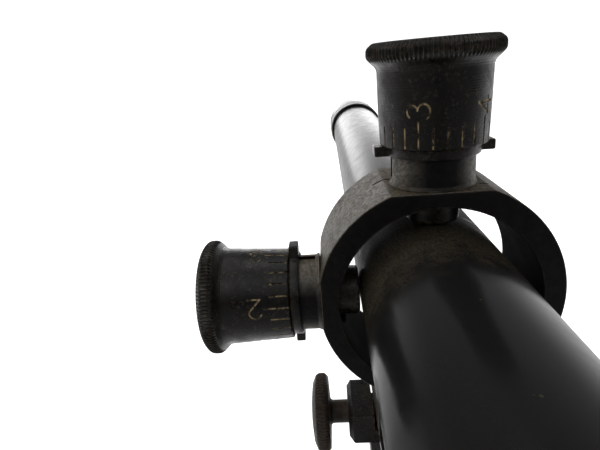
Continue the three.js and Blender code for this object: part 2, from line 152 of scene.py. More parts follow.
def arc(radius, start, end, count, centre=(0.0, 0.0)):
    """Points of an arc, angles in degrees."""
    angles = [math.radians(start + (end - start) * k / count) for k in range(count + 1)]
    return [(centre[0] + radius * math.cos(a), centre[1] + radius * math.sin(a)) for a in angles]


def circle(radius, count=96, centre=(0.0, 0.0)):
    """A closed circle, clockwise, for holes."""
    return arc(radius, 360, 0, count, centre)[:-1]


def band(inner, outer, low, high, radius=0.15):
    """Profile of a plain turned ring."""
    return rounded([(inner, low), (outer, low), (outer, high), (inner, high)], radius)


def signed_area(points):
    x, y = np.array(points, float).T
    return float(np.sum(x * np.roll(y, -1) - np.roll(x, -1) * y))


# ---------------------------------------------------------------- solids


def turned(profile, segments=96, relief=None):
    """A turned solid about Z from (radius, height) points; one on the axis starts and ends there."""
    points = np.array(profile, float)
    if signed_area(points) < 0:
        points = points[::-1]
    closed = points[0, 0] > 0
    step = np.roll(points, -1, 0) - np.roll(points, 1, 0)
    step /= np.maximum(np.linalg.norm(step, axis=1), 1e-9)[:, None]
    angles = np.arange(segments) * (2 * math.pi / segments)
    angle, radius = np.meshgrid(angles, points[:, 0])
    height = np.repeat(points[:, 1:], segments, 1)
    paint = np.zeros_like(radius)
    if relief:
        lift, paint = relief(angle, radius, height)
        radius = radius + lift * step[:, 1:]
        height = height - lift * step[:, :1]
    vertices = np.stack([radius * np.cos(angle), radius * np.sin(angle), height], -1)
    rows = len(points)
    row, column = np.meshgrid(np.arange(rows if closed else rows - 1), np.arange(segments))
    row, column = row.ravel(), column.ravel()
    after, above = (column + 1) % segments, (row + 1) % rows
    corners = [(row, column), (row, after), (above, after), (above, column)]
    faces = np.stack([r * segments + c for r, c in corners], -1)
    return vertices.reshape(-1, 3), faces.tolist(), paint.ravel()


def slab(outlines, low, high, bevel=0.0, steps=3):
    """A plate between two heights, from an anticlockwise outline followed by clockwise holes."""
    quarter = [k / steps * math.pi / 2 for k in range(steps + 1)] if bevel else [math.pi / 2]
    rims = [(bevel * (1 - math.sin(t)), low + bevel * (1 - math.cos(t))) for t in quarter]
    rims += [(inset, low + high - height) for inset, height in reversed(rims)]
    layers = [[] for _ in rims]
    starts, total = [], 0
    for outline in outlines:
        points = np.array(outline, float)
        side = np.roll(points, -1, 0) - points
        side /= np.linalg.norm(side, axis=1)[:, None]
        inward = np.stack([-side[:, 1], side[:, 0]], 1)
        previous = np.roll(inward, 1, 0)
        mitre = (inward + previous) / (1 + np.sum(inward * previous, 1))[:, None]
        for layer, (inset, height) in zip(layers, rims):
            edge = points + mitre * inset
            layer.append(np.column_stack([edge, np.full(len(edge), height)]))
        starts.append((total, len(points)))
        total += len(points)
    vertices = np.concatenate([np.concatenate(layer) for layer in layers])
    faces = []
    for k in range(len(rims) - 1):
        for start, count in starts:
            for i in range(count):
                a, b = start + i + k * total, start + (i + 1) % count + k * total
                faces.append((a, b, b + total, a + total))
    for k in (0, len(rims) - 1):
        loops = [[Vector(p) for p in part] for part in layers[k]]
        faces += [tuple(i + k * total for i in tri) for tri in tessellate_polygon(loops)]
    return vertices, faces, np.zeros(len(vertices))


def placed(origin, up, side):
    """Matrix that sets a shape in millimetres at origin, its Z along up and its X towards side."""
    z = Vector(up).normalized()
    y = z.cross(Vector(side)).normalized()
    turn = Matrix((y.cross(z), y, z)).transposed().to_4x4()
    return Matrix.Translation(origin) @ turn @ Matrix.Scale(MM, 4)


def solid(name, shape, place):
    """An object holding one closed mesh."""
    vertices, faces, paint = shape
    mesh = bpy.data.meshes.new(name)
    mesh.from_pydata(vertices, [], faces)
    mesh.attributes.new("paint", "FLOAT", "POINT").data.foreach_set("value", paint)
    mesh.transform(place)
    bm = bmesh.new()
    bm.from_mesh(mesh)
    bmesh.ops.remove_doubles(bm, verts=bm.verts, dist=2e-8)
    bmesh.ops.recalc_face_normals(bm, faces=bm.faces)
    bm.to_mesh(mesh)
    bm.free()
    piece = bpy.data.objects.new(name, mesh)
    bpy.context.scene.collection.objects.link(piece)
    return piece


def apply_modifiers(piece):
    graph = bpy.context.evaluated_depsgraph_get()
    mesh = bpy.data.meshes.new_from_object(piece.evaluated_get(graph))
    piece.modifiers.clear()
    spare, piece.data = piece.data, mesh
    bpy.data.meshes.remove(spare)


def cut(piece, tools):
    """Cuts shapes, each a (shape, place) pair, away from a piece."""
    cutters = [solid("cutter", shape, place) for shape, place in tools]
    for cutter in cutters:
        boolean = piece.modifiers.new("cut", "BOOLEAN")
        boolean.operation, boolean.solver, boolean.object = "DIFFERENCE", "EXACT", cutter
    apply_modifiers(piece)
    for cutter in cutters:
        spare = cutter.data
        bpy.data.objects.remove(cutter)
        bpy.data.meshes.remove(spare)


def build(node, shape, place, tools=(), soft=0.0):
    """The visible piece that stands for one CAD node."""
    piece = solid(node + "_fine", shape, place)
    if tools:
        cut(piece, tools)
    if soft:
        bevel = piece.modifiers.new("soft", "BEVEL")
        bevel.width, bevel.segments = soft * MM, 3
        bevel.limit_method, bevel.angle_limit = "ANGLE", math.radians(28)
        apply_modifiers(piece)
    piece.data.polygons.foreach_set("use_smooth", [True] * len(piece.data.polygons))
    piece.data.set_sharp_from_angle(angle=math.radians(42))
    piece.modifiers.new("shading", "WEIGHTED_NORMAL").keep_sharp = True
    piece.data.materials.clear()
    piece.data.materials.append(LOOKS[SLOT_OF[node]])
    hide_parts(node)
    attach(piece, BODY_OF[node])
    return piece


def disc(radius, low, high, segments=64):
    """A plain cylinder for cutting."""
    return turned([(0, low), (radius, low), (radius, high), (0, high)], segments)


def brick(x, y, z):
    """A box for cutting, each side given as (from, to)."""
    outline = [(x[0], y[0]), (x[1], y[0]), (x[1], y[1]), (x[0], y[1])]
    return slab([outline], z[0], z[1])


# ---------------------------------------------------------------- material building


class Look:
    """One node material. Each call adds a node and returns its output."""

    def __init__(self, name, **shader):
        self.material = bpy.data.materials.new(name)
        self.material.use_nodes = True
        self.tree = self.material.node_tree
        self.shader = self.tree.nodes["Principled BSDF"]
        for socket, value in shader.items():
            self.feed(socket.replace("_", " "), value)
        self.place = self.add("ShaderNodeTexCoord", {}).outputs["Object"]

    def add(self, kind, sockets, **settings):
        node = self.tree.nodes.new(kind)
        for name, value in settings.items():
            setattr(node, name, value)
        for name, value in sockets.items():
            self.connect(node.inputs[name], value)
        return node

    def connect(self, socket, value):
        if isinstance(value, bpy.types.NodeSocket):
            self.tree.links.new(value, socket)
        else:
            socket.default_value = value

    def feed(self, socket, value):
        self.connect(self.shader.inputs[socket], value)

    def noise(self, scale, detail=3.0, stretch=(1, 1, 1), rough=0.6):
        """Noise with its scale in features per metre, stretched where a factor is below 1."""
        sized = self.add("ShaderNodeMapping", {"Vector": self.place, "Scale": stretch})
        sockets = {"Vector": sized.outputs[0], "Scale": scale, "Detail": detail, "Roughness": rough}
        return self.add("ShaderNodeTexNoise", sockets).outputs[0]

    def span(self, value, low, high, start=0.0, end=1.0):
        """The value, from low to high, mapped to start to end."""
        sockets = {"Value": value, "From Min": low, "From Max": high, "To Min": start, "To Max": end}
        return self.add("ShaderNodeMapRange", sockets).outputs[0]

    def maths(self, operation, a, b):
        return self.add("ShaderNodeMath", {0: a, 1: b}, operation=operation).outputs[0]

    def times(self, a, b):
        return self.maths("MULTIPLY", a, b)

    def mix(self, factor, a, b):
        node = self.add("ShaderNodeMix", {}, data_type="RGBA")
        for index, value in ((0, factor), (6, a), (7, b)):
            self.connect(node.inputs[index], value)
        return node.outputs[2]

    def attribute(self, name):
        return self.add("ShaderNodeAttribute", {}, attribute_name=name).outputs["Fac"]

    def edges(self, radius, low=0.02, high=0.25):
        """How far the surface turns within a small radius, for worn edges."""
        soft = self.add("ShaderNodeBevel", {"Radius": radius * MM}, samples=4).outputs[0]
        true = self.add("ShaderNodeNewGeometry", {}).outputs["True Normal"]
        sockets = {0: soft, 1: true}
        dot = self.add("ShaderNodeVectorMath", sockets, operation="DOT_PRODUCT").outputs["Value"]
        return self.span(self.maths("SUBTRACT", 1.0, dot), low, high)

    def hollows(self, distance, low=0.45, high=0.9):
        """Where dust gathers: in corners that see little of what is round them."""
        shade = self.add("ShaderNodeAmbientOcclusion", {"Distance": distance * MM}, samples=4)
        return self.span(shade.outputs["AO"], high, low)

    def facing(self, axis, low, high):
        """How far the resting surface faces along an axis."""
        normal = self.tree.nodes.new("ShaderNodeTexCoord").outputs["Normal"]
        split = self.add("ShaderNodeSeparateXYZ", {0: normal}).outputs[axis]
        return self.span(split, low, high)

    def facing_round(self):
        """How far the resting surface faces away from the tube's direction."""
        fore = self.maths("MAXIMUM", self.facing("Y", 0.6, 0.95), self.facing("Y", -0.6, -0.95))
        return self.maths("SUBTRACT", 1.0, fore)

    def from_axis(self, low, high):
        """How far the surface is out from the tube's axis, over a span in millimetres."""
        away = self.add("ShaderNodeVectorMath", {0: self.place, 1: (0, 0, TUBE_Z)}, operation="SUBTRACT")
        flat = self.add("ShaderNodeVectorMath", {0: away.outputs[0], 1: (1, 0, 1)}, operation="MULTIPLY")
        length = self.add("ShaderNodeVectorMath", {0: flat.outputs[0]}, operation="LENGTH")
        return self.span(length.outputs["Value"], low * MM, high * MM)

    def film(self, amount, colour):
        """Lays a film of matt colour over the shader: dust in some looks, painted shade in others."""
        dust = self.add("ShaderNodeBsdfDiffuse", {"Color": colour})
        laid = self.add("ShaderNodeMixShader", {0: amount, 1: self.shader.outputs[0], 2: dust.outputs[0]})
        self.tree.links.new(laid.outputs[0], self.tree.nodes["Material Output"].inputs["Surface"])

    def bump(self, height, depth, normal=None):
        """Relief of the given depth in millimetres."""
        sockets = {"Height": height, "Distance": depth * MM, "Strength": 1.0}
        if normal:
            sockets["Normal"] = normal
        return self.add("ShaderNodeBump", sockets).outputs[0]


def tone(red, green, blue):
    return (red, green, blue, 1.0)


DUST = tone(0.115, 0.098, 0.068)
BARE = tone(0.2, 0.18, 0.155)


def blued_steel():
    """Black blueing, with turning marks, dust in corners, bare edges and paint in engraved lines."""
    look = Look("blued_steel", IOR=1.6, Specular_IOR_Level=0.15)
    cloud = look.noise(350)
    grime = look.noise(2600, 5)
    dark = look.mix(look.span(cloud, 0.35, 0.7), tone(0.0025, 0.0025, 0.003), tone(0.0075, 0.006, 0.005))
    flecks = look.times(look.span(grime, 0.54, 0.64), look.span(look.noise(500, 5), 0.4, 0.62))
    dark = look.mix(flecks, dark, tone(0.038, 0.031, 0.022))
    dust = look.times(look.hollows(2.4), look.span(look.noise(2100, 5), 0.4, 0.66))
    dark = look.mix(look.times(dust, 0.6), dark, DUST)
    worn = look.times(look.edges(0.16), look.span(look.noise(1300, 5), 0.44, 0.6))
    rubbed = look.mix(look.noise(800, 3), tone(0.13, 0.075, 0.035), BARE)
    dark = look.mix(look.times(worn, 0.7), dark, rubbed)
    remaining = look.span(look.noise(1100, 6), 0.44, 0.58)
    paint = look.times(look.attribute("paint"), remaining)
    colour = look.mix(look.noise(5000, 2), tone(0.4, 0.25, 0.08), tone(0.58, 0.5, 0.33))
    look.feed("Base Color", look.mix(paint, dark, colour))
    rough = look.span(look.noise(520, 6), 0.34, 0.66, 0.24, 0.5)
    look.feed("Roughness", look.mix(paint, rough, tone(0.8, 0.8, 0.8)))
    look.feed("Normal", look.bump(grime, 0.035, look.bump(look.noise(7000, 4), 0.012)))
    return look.material


def worn_steel():
    """Steel worn grey-brown and pitted; its bore and its faces across the tube are painted near black as
    painted shade.
    """
    look = Look("worn_steel", IOR=1.6)
    patches = look.noise(260, 5)
    grain = look.noise(1300, 7, (1, 0.35, 1), 0.72)
    skin = look.mix(look.span(patches, 0.35, 0.65), tone(0.075, 0.069, 0.06), tone(0.125, 0.112, 0.093))
    skin = look.mix(look.span(grain, 0.46, 0.58), skin, tone(0.024, 0.021, 0.018))
    rust = look.span(look.noise(480, 6), 0.55, 0.7)
    skin = look.mix(look.times(rust, 0.6), skin, tone(0.13, 0.088, 0.05))
    dust = look.times(look.hollows(2.4), look.span(look.noise(1300, 5), 0.3, 0.6))
    skin = look.mix(look.times(dust, 0.8), skin, DUST)
    pits = look.span(look.noise(3000, 5), 0.57, 0.66)
    skin = look.mix(look.times(pits, 0.7), skin, tone(0.02, 0.017, 0.014))
    # Painted shade: the faces across the tube and the bore get a near-black colour, with less metal and
    # less specular.
    outward, bore = look.facing_round(), look.from_axis(13.6, 13.2)
    across = look.maths("MAXIMUM", look.maths("SUBTRACT", 1.0, outward), bore)
    thick = look.span(look.noise(900, 5), 0.4, 0.7)
    black = look.mix(thick, tone(0.003, 0.0028, 0.0032), tone(0.0075, 0.0064, 0.006))
    skin = look.mix(across, skin, black)
    worn = look.times(look.edges(0.3), look.span(look.noise(1100, 4), 0.35, 0.6))
    look.feed("Base Color", look.mix(look.times(worn, 0.8), skin, tone(0.2, 0.165, 0.12)))
    look.feed("Metallic", look.times(look.maths("SUBTRACT", 1.0, across), 0.25))
    look.feed("Roughness", look.span(patches, 0.3, 0.7, 0.42, 0.62))
    look.feed("Specular IOR Level", look.mix(across, tone(0.5, 0.5, 0.5), tone(0.08, 0.08, 0.08)))
    look.feed("Normal", look.bump(grain, 0.1, look.bump(look.noise(3400, 6), 0.07)))
    # A film of dust and painted shade lies on the level seats, dust lies in specks outside, and a
    # near-black film of painted shade lies evenly in the bore.
    inside = look.times(bore, outward)
    dust_and_seat_shade = look.times(look.facing("Z", 0.93, 0.99), look.span(grain, 0.6, 0.35, 0.6, 0.96))
    speckle = look.times(look.span(look.noise(2300, 7), 0.44, 0.56, 0.0, 0.55), outward)
    dust_and_seat_shade = look.maths("MAXIMUM", dust_and_seat_shade, speckle)
    dry = look.span(look.noise(2400, 6), 0.35, 0.65)
    dirt_and_shade = look.mix(dry, tone(0.02, 0.017, 0.013), tone(0.11, 0.09, 0.058))
    # Painted shade: the film in the bore is near black.
    dirt_and_shade = look.mix(inside, dirt_and_shade, tone(0.009, 0.0085, 0.0078))
    look.film(look.maths("MAXIMUM", look.times(inside, 0.88), dust_and_seat_shade), dirt_and_shade)
    return look.material


def brown_steel():
    """Iron gone brown: fine rust over dark steel, polished a little where fingers touch."""
    look = Look("brown_steel", IOR=1.5, Specular_IOR_Level=0.16)
    rust = look.span(look.noise(1400, 6), 0.4, 0.66)
    skin = look.mix(rust, tone(0.012, 0.0105, 0.0095), tone(0.042, 0.026, 0.018))
    pale = look.span(look.noise(3300, 5), 0.58, 0.74)
    skin = look.mix(look.times(pale, 0.6), skin, tone(0.13, 0.1, 0.08))
    worn = look.times(look.edges(0.3), look.span(look.noise(1500, 4), 0.35, 0.6))
    skin = look.mix(look.times(worn, 0.5), skin, tone(0.14, 0.115, 0.1))
    dust = look.times(look.hollows(1.6), 0.4)
    look.feed("Base Color", look.mix(dust, skin, DUST))
    look.feed("Roughness", look.span(rust, 0.0, 1.0, 0.42, 0.7))
    look.feed("Normal", look.bump(look.noise(2600, 6), 0.05))
    return look.material


def bright_steel():
    """Ground steel, finely scratched, with brown spots."""
    look = Look("bright_steel", Metallic=0.8)
    spots = look.span(look.noise(900, 6), 0.56, 0.68)
    scratches = look.noise(5200, 3, (1, 0.1, 1))
    skin = look.mix(look.span(scratches, 0.35, 0.7), tone(0.22, 0.22, 0.22), tone(0.36, 0.35, 0.34))
    look.feed("Base Color", look.mix(spots, skin, tone(0.12, 0.085, 0.06)))
    look.feed("Roughness", look.span(scratches, 0.3, 0.7, 0.22, 0.42))
    look.feed("Normal", look.bump(scratches, 0.01))
    return look.material


def black_enamel():
    """Black enamel under a film of dust, thick and brown about the rear ring; a dark matt film on the
    left side of its near end is painted shade.
    """
    look = Look("black_enamel", IOR=1.5)
    split = look.add("ShaderNodeSeparateXYZ", {0: look.place})
    ring_face = MOUNTS["rear"] - MOUNT * MM / 2
    near = look.span(split.outputs["Y"], ring_face - 0.013, ring_face - 0.003)
    past = look.span(split.outputs["Y"], ring_face + 0.016, ring_face + 0.03, 1.0, 0.0)
    near = look.times(near, past)
    ragged = look.maths("ADD", near, look.span(look.noise(420, 4), 0.3, 0.7, -0.3, 0.3))
    near = look.times(look.span(ragged, 0.25, 0.9), look.facing("Z", -0.5, 0.4))
    dark = look.mix(look.noise(240, 4), tone(0.0055, 0.0055, 0.006), tone(0.0085, 0.008, 0.008))
    specks = look.span(look.noise(620, 2), 0.735, 0.76)
    look.feed("Base Color", look.mix(specks, dark, tone(0.05, 0.045, 0.025)))
    look.feed("Roughness", look.span(look.noise(420, 5), 0.3, 0.7, 0.16, 0.24))
    look.feed("Normal", look.bump(look.noise(1500, 3), 0.0006))
    grains = look.span(look.noise(3800, 5), 0.35, 0.72)
    heavy = look.mix(grains, tone(0.012, 0.0105, 0.0085), tone(0.048, 0.04, 0.027))
    thin = look.mix(look.noise(2600, 5), tone(0.005, 0.005, 0.005), tone(0.011, 0.0105, 0.01))
    # Painted shade: a dark matt film on the tube's left side, towards its near end, dims that side.
    forward = look.span(split.outputs["Y"], -0.02, -0.032)
    flank = look.times(look.facing("X", -0.3, -0.75), forward)
    by_ring, flank_shade_film = look.span(near, 0.0, 1.0, 0.5, 0.92), look.span(flank, 0.0, 1.0, 0.5, 0.86)
    look.film(look.maths("MAXIMUM", by_ring, flank_shade_film), look.mix(near, thin, heavy))
    return look.material


def matt_black():
    """Matt optical black, slightly grey where it has rubbed."""
    look = Look("matt_black", IOR=1.4)
    rub = look.times(look.edges(0.15), look.span(look.noise(1500, 4), 0.4, 0.6))
    skin = look.mix(look.noise(1200, 4), tone(0.008, 0.008, 0.008), tone(0.018, 0.017, 0.016))
    look.feed("Base Color", look.mix(rub, skin, tone(0.09, 0.085, 0.08)))
    look.feed("Roughness", look.span(look.noise(900, 4), 0.3, 0.7, 0.7, 0.9))
    look.feed("Normal", look.bump(look.noise(5200, 3), 0.01))
    return look.material


def brass():
    """Turned brass gone dull, with brown tarnish."""
    look = Look("brass", Metallic=1.0)
    tarnish = look.span(look.noise(700, 6), 0.4, 0.7)
    look.feed("Base Color", look.mix(tarnish, tone(0.55, 0.4, 0.17), tone(0.22, 0.14, 0.06)))
    look.feed("Roughness", look.span(tarnish, 0.0, 1.0, 0.28, 0.5))
    look.feed("Normal", look.bump(look.noise(2400, 3, (1, 4, 1)), 0.012))
    return look.material


def glass():
    """Polished optical glass with a breath of haze."""
    look = Look("glass", Transmission_Weight=1.0, IOR=1.52)
    haze = look.noise(500, 4)
    look.feed("Base Color", look.mix(haze, tone(0.93, 0.96, 0.96), tone(0.86, 0.92, 0.93)))
    look.feed("Roughness", look.span(haze, 0.4, 0.8, 0.0, 0.06))
    return look.material


LOOKS = {
    make.__name__: make()
    for make in (
        blued_steel, worn_steel, brown_steel, bright_steel, black_enamel, matt_black, brass, glass,
    )
}

# ---------------------------------------------------------------- the dial's figures


def digit_strokes(digit):
    """Pen strokes of a dial figure in a unit square, right then up."""
    if digit == 0:
        return [[(0.5 + 0.42 * x, 0.5 + 0.5 * y) for x, y in arc(1, 0, 360, 18)]]
    if digit == 1:
        return [[(0.28, 0.8), (0.55, 1.0), (0.55, 0.0)]]
    if digit == 2:
        top = [(0.48 + 0.42 * x, 0.72 + 0.28 * y) for x, y in arc(1, 165, -40, 12)]
        return [top + [(0.1, 0.0), (0.95, 0.0)]]
    if digit == 3:
        upper = [(0.45 + 0.38 * x, 0.76 + 0.24 * y) for x, y in arc(1, 150, -80, 12)]
        lower = [(0.45 + 0.45 * x, 0.27 + 0.27 * y) for x, y in arc(1, 80, -150, 12)]
        return [upper + lower]
    return [[(0.72, 0.0), (0.72, 1.0), (0.05, 0.32), (1.0, 0.32)]]


def stroke_mask(u, v, points, half_width):
    """1 on a pen stroke's line, falling to 0 at half_width from it; all in millimetres."""
    distance = np.full(u.shape, 1e3)
    for (x0, y0), (x1, y1) in zip(points, points[1:]):
        along = (x1 - x0, y1 - y0)
        length = max(along[0] ** 2 + along[1] ** 2, 1e-9)
        t = np.clip(((u - x0) * along[0] + (v - y0) * along[1]) / length, 0, 1)
        distance = np.minimum(distance, np.hypot(u - x0 - t * along[0], v - y0 - t * along[1]))
    return np.clip(1 - distance / half_width, 0, 1)


def dial(zero, base):
    """Relief of a thimble: 25 divisions, the figures 0 to 4, and a knurled rim."""
    division = 2 * math.pi / DIVISIONS

    def relief(angle, radius, height):
        level = height - base
        outside = radius > 5.75
        turn = (angle - math.radians(zero) + division / 2) % (2 * math.pi) - division / 2
        number = np.round(turn / division)
        off = (turn - number * division) * radius
        length = np.where(number % 5 == 0, LONG_LINE, SHORT_LINE)
        mark = np.clip(1 - np.abs(off) / STROKE, 0, 1) * np.clip((length - level) / 0.12, 0, 1)
        for digit in range(5):
            centre = math.radians(zero) + digit * 5 * division
            around = (angle - centre + math.pi) % (2 * math.pi) - math.pi
            u, v = level - DIGIT_PLACE, -around * radius
            for stroke in digit_strokes(digit):
                line = [((x - 0.5) * DIGIT_WIDTH, (y - 0.5) * DIGIT_HEIGHT) for x, y in stroke]
                near = (np.abs(u) < DIGIT_WIDTH) & (np.abs(v) < DIGIT_HEIGHT) & outside
                mark[near] = np.maximum(mark[near], stroke_mask(u[near], v[near], line, STROKE))
        mark = mark * outside * (level < 8)
        tooth = np.abs((angle * TEETH / math.pi) % 2 - 1)
        grip = np.clip((level - 9.35) / 0.35, 0, 1) * np.clip((11.5 - level) / 0.25, 0, 1)
        grip = grip * (radius > 6.9)
        drift = np.sin(level * 3.1 + 1.3 * np.sin(angle * 3 + level))
        wobble = 0.016 * np.sin(level * 23 + 0.8 * np.sin(angle * 2)) * (0.6 + 0.4 * drift)
        wobble = wobble * np.clip((level - 0.6) / 0.5, 0, 1) * (level < 9)
        lift = wobble * outside - ENGRAVED * np.minimum(mark * 1.6, 1) - 0.17 * tooth * grip
        return lift, np.clip(mark * 2.2 - 0.4, 0, 1)

    return relief


def knurl(teeth, depth, low, high, radius_over):
    """Relief of a straight-knurled band between two heights."""

    def relief(angle, radius, height):
        tooth = np.abs((angle * teeth / math.pi) % 2 - 1)
        fade = np.clip((height - low) / 0.3, 0, 1) * np.clip((high - height) / 0.3, 0, 1)
        return -depth * tooth * fade * (radius > radius_over), np.zeros_like(radius)

    return relief


# ---------------------------------------------------------------- shared small parts


def slotted(node, place, head, shank, low, seat, top, slot_width=0.7):
    """A slotted screw along the placed Z axis, its head between seat and top."""
    profile = rounded([(0, low), (shank, low), (shank, seat), (head, seat), (head, top), (0, top)], 0.22)
    slot = brick((-slot_width / 2, slot_width / 2), (-head * 2, head * 2), (top - 0.5, top + 1))
    build(node, turned(profile, 64), place, [(slot, place)])


def tube_place(node=None):
    """Placement of a piece turned about the tube, its heights from the node's front end."""
    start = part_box(node)[0].y if node else 0.0
    return placed((0, start, TUBE_Z), Y_AXIS, X_AXIS)


def length_of(node):
    low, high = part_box(node)
    return (high.y - low.y) / MM


def radial_place(y, angle):
    """Placement of a piece along a radius of the tube, angle in degrees from +X towards +Z."""
    way = Vector((math.cos(math.radians(angle)), 0, math.sin(math.radians(angle))))
    return placed((0, y, TUBE_Z), way, Y_AXIS)


def section_place(y):
    """Placement of an outline drawn in X and Z, centred on the mount at y."""
    return placed((0, y, 0), -Y_AXIS, X_AXIS)


# ---------------------------------------------------------------- mounts


def ring_outline(radius, rise=0.0, seats=False):
    """A ring with the foot that hooks over the base, in X and Z."""
    axis = TUBE_Z / MM
    right, left = 8.4, 8.0
    start = -math.degrees(math.acos(right / radius))
    end = 180 + math.degrees(math.acos(left / radius))
    loop = arc(radius, start, end, 150, (0, axis + rise))
    if seats:
        top, side = axis + SEATS["elevation"], -SEATS["windage"]
        loop = [(max(x, side), min(z, top)) for x, z in loop]
    under = BASE_TOP + GAP
    foot = [
        (-left, under, 0.2), (8.25, under, 0.3), (8.25, 12.13, 0.2), (6.2, 9.75, 0.3),
        (11.4, 9.75, 0.3), (12, 10.4, 0.3), (12, 14.6, 0.8), (8.9, 18.2, 2.0),
    ]
    return rounded(loop + foot, 1.2)


def rear_ring():
    mount = MOUNTS["rear"]
    place = section_place(mount)
    bore = circle(RING_BORE, 180, (0, TUBE_Z / MM))
    outline = ring_outline(RING, RING_RISE, True)
    shape = slab([outline, bore], -MOUNT / 2, MOUNT / 2, 0.16)
    neck = disc(SLEEVE - 0.5, 9, 20)
    seat = SEATS["elevation"]
    kerf = brick((-7.2, -4.0), (2.3, 2.75), (seat - 0.75, seat + 2))
    nick = brick((5.0, 6.1), (-2.45, -2.05), (seat - 0.45, seat + 2))
    hollow = [(0, 0)] + arc(SPRING_POCKET, SPRING_ANGLE - 36, SPRING_ANGLE + 36, 24)
    pocket = slab([hollow], -SPRING_WIDTH / 2 - GAP, SPRING_WIDTH / 2 + GAP)
    tools = [
        (disc(CLAMP_SHANK + GAP, -20, 20), placed((0, mount, CLAMP_Z), X_AXIS, Z_AXIS)),
        (neck, knob_place("elevation")),
        (neck, knob_place("windage")),
        (kerf, knob_place("elevation")),
        (nick, knob_place("elevation")),
        (disc(1.5, 5, 20), radial_place(mount, SPRING_ANGLE)),
        (pocket, placed((0, mount, TUBE_Z), -Y_AXIS, X_AXIS)),
    ]
    build("rear_ring", shape, place, tools)


def front_ring():
    mount = MOUNTS["front"]
    seat = BUSH + GAP
    half = MOUNT / 2
    shape = slab([ring_outline(FRONT_RING)], -half, half, 0.4)
    bowl = [(math.sqrt(seat**2 - y**2), y) for y in np.linspace(0, half + 0.2, 16)]
    bore = [(0, -half - 1), (13.9, -half - 1), (13.9, 0)] + bowl + [(0, half + 0.2)]
    around = placed((0, mount, TUBE_Z), Y_AXIS, X_AXIS)
    tools = [
        (turned(bore, 180), around),
        (disc(CLAMP_SHANK + GAP, -20, 20), placed((0, mount, CLAMP_Z), X_AXIS, Z_AXIS)),
    ]
    build("front_ring", shape, section_place(mount), tools)


def front_bearing():
    """Spherical bush on the tube, and the ring nut that keeps it in its seat."""
    half = 6.0
    ball = [(math.sqrt(BUSH**2 - y**2), y) for y in np.linspace(-half, half, 21)]
    middle = middle_of("front_bush").y
    place = placed((0, middle, TUBE_Z), Y_AXIS, X_AXIS)
    bush = [(TUBE + GAP, -half)] + ball + [(TUBE + GAP, half)]
    build("front_bush", turned(rounded(bush, 0.2), 180), place)
    seat = BUSH + GAP
    face, inner = -MOUNT / 2, -3.0
    bowl = [(math.sqrt(seat**2 - y**2), y) for y in np.linspace(face, inner, 10)]
    nut = rounded([(13.6, inner), (13.6, face)] + bowl, 0.12)
    slot = brick((-0.9, 0.9), (-20, 20), (face - 1, face + 1.2))
    build("front_retainer", turned(nut, 180), place, [(slot, place)])


def base_block(prefix):
    mount = MOUNTS[prefix]
    half = [(8.6, 0), (8.6, 3), (6, 4.6), (5.6, 9.6), (7.9, 12.2), (7.9, BASE_TOP)]
    outline = rounded(half + [(-x, z) for x, z in reversed(half)], 0.3)
    shape = slab([outline], -BASE_LENGTH / 2, BASE_LENGTH / 2, 0.3)
    groove = CLAMP_SHANK + 0.5
    across = placed((0, mount, CLAMP_Z), X_AXIS, Z_AXIS)
    tools = [
        (disc(groove, -20, 20), across),
        (brick((0, 5), (-groove * 0.98, groove * 0.98), (-20, 20)), across),
    ]
    for side, name in ((-1, "front"), (1, "back")):
        centre = middle_of(f"{prefix}_base_screw_{name}")
        down = placed((0, centre.y, 0), Z_AXIS, X_AXIS)
        hole = [(0, -1), (1.9, -1), (1.9, SCREW_SEAT - 0.3), (3, SCREW_SEAT - 0.3), (3, BASE_TOP - 0.3),
                (3.5, BASE_TOP + 0.2), (3.5, BASE_TOP + 1), (0, BASE_TOP + 1)]
        tools.append((turned(hole, 64), down))
        node = f"{prefix}_base_screw_{name}"
        spin = placed((0, centre.y, 0), Z_AXIS, (math.cos(side), math.sin(side), 0))
        slotted(node, spin, 2.7, 1.6, 0.6, SCREW_SEAT, SCREW_SEAT + 1.3)
    build(f"{prefix}_base", shape, section_place(mount), tools)


def clamp(prefix):
    """Movable jaw and its thumbscrew."""
    mount = MOUNTS[prefix]
    outline = [
        (-12, 10.6), (-11.2, 9.75), (-6.2, 9.75), (-8.3, 12.13), (-8.3, 14.5), (-11.4, 14.5),
        (-12, 13.9),
    ]
    shape = slab([outline], -JAW_LENGTH / 2, JAW_LENGTH / 2)
    across = placed((0, mount, CLAMP_Z), X_AXIS, Z_AXIS)
    tools = [(disc(CLAMP_SHANK + GAP, -20, 20, 32), across)]
    corner = brick((-1.5, 1.5), (-1.5, 1.5), (-10, 10))
    for side in (-1, 1):
        centre = (-12.9 * MM, mount + side * (JAW_LENGTH / 2 + 0.6) * MM, CLAMP_Z)
        tools.append((corner, placed(centre, Z_AXIS, (1, 1, 0))))
    build(f"{prefix}_jaw", shape, section_place(mount), tools, soft=0.22)
    r = CLAMP_SHANK
    profile = [
        (0, -10.8), (r, -10.8, 0.4), (r, 14.6, 0.5), (5.2, 14.82, 0.2), (5.8, 15.35, 0.6),
        (5.75, 16.6, 0.9), (4.4, 17.2, 0.8), (2.4, 17.45, 1.5), (0, 17.5),
    ]
    rim = rounded(profile, 0.3, 6)
    grip = knurl(72, 0.16, 14.95, 16.75, 5.0)
    place = placed((0, mount, CLAMP_Z), -X_AXIS, Z_AXIS)
    fine = [p for p in rim if p[1] < 14.7] + divided([p for p in rim if p[1] >= 14.7], 0.12)
    build(f"{prefix}_thumbscrew", turned(fine, 504, grip), place)


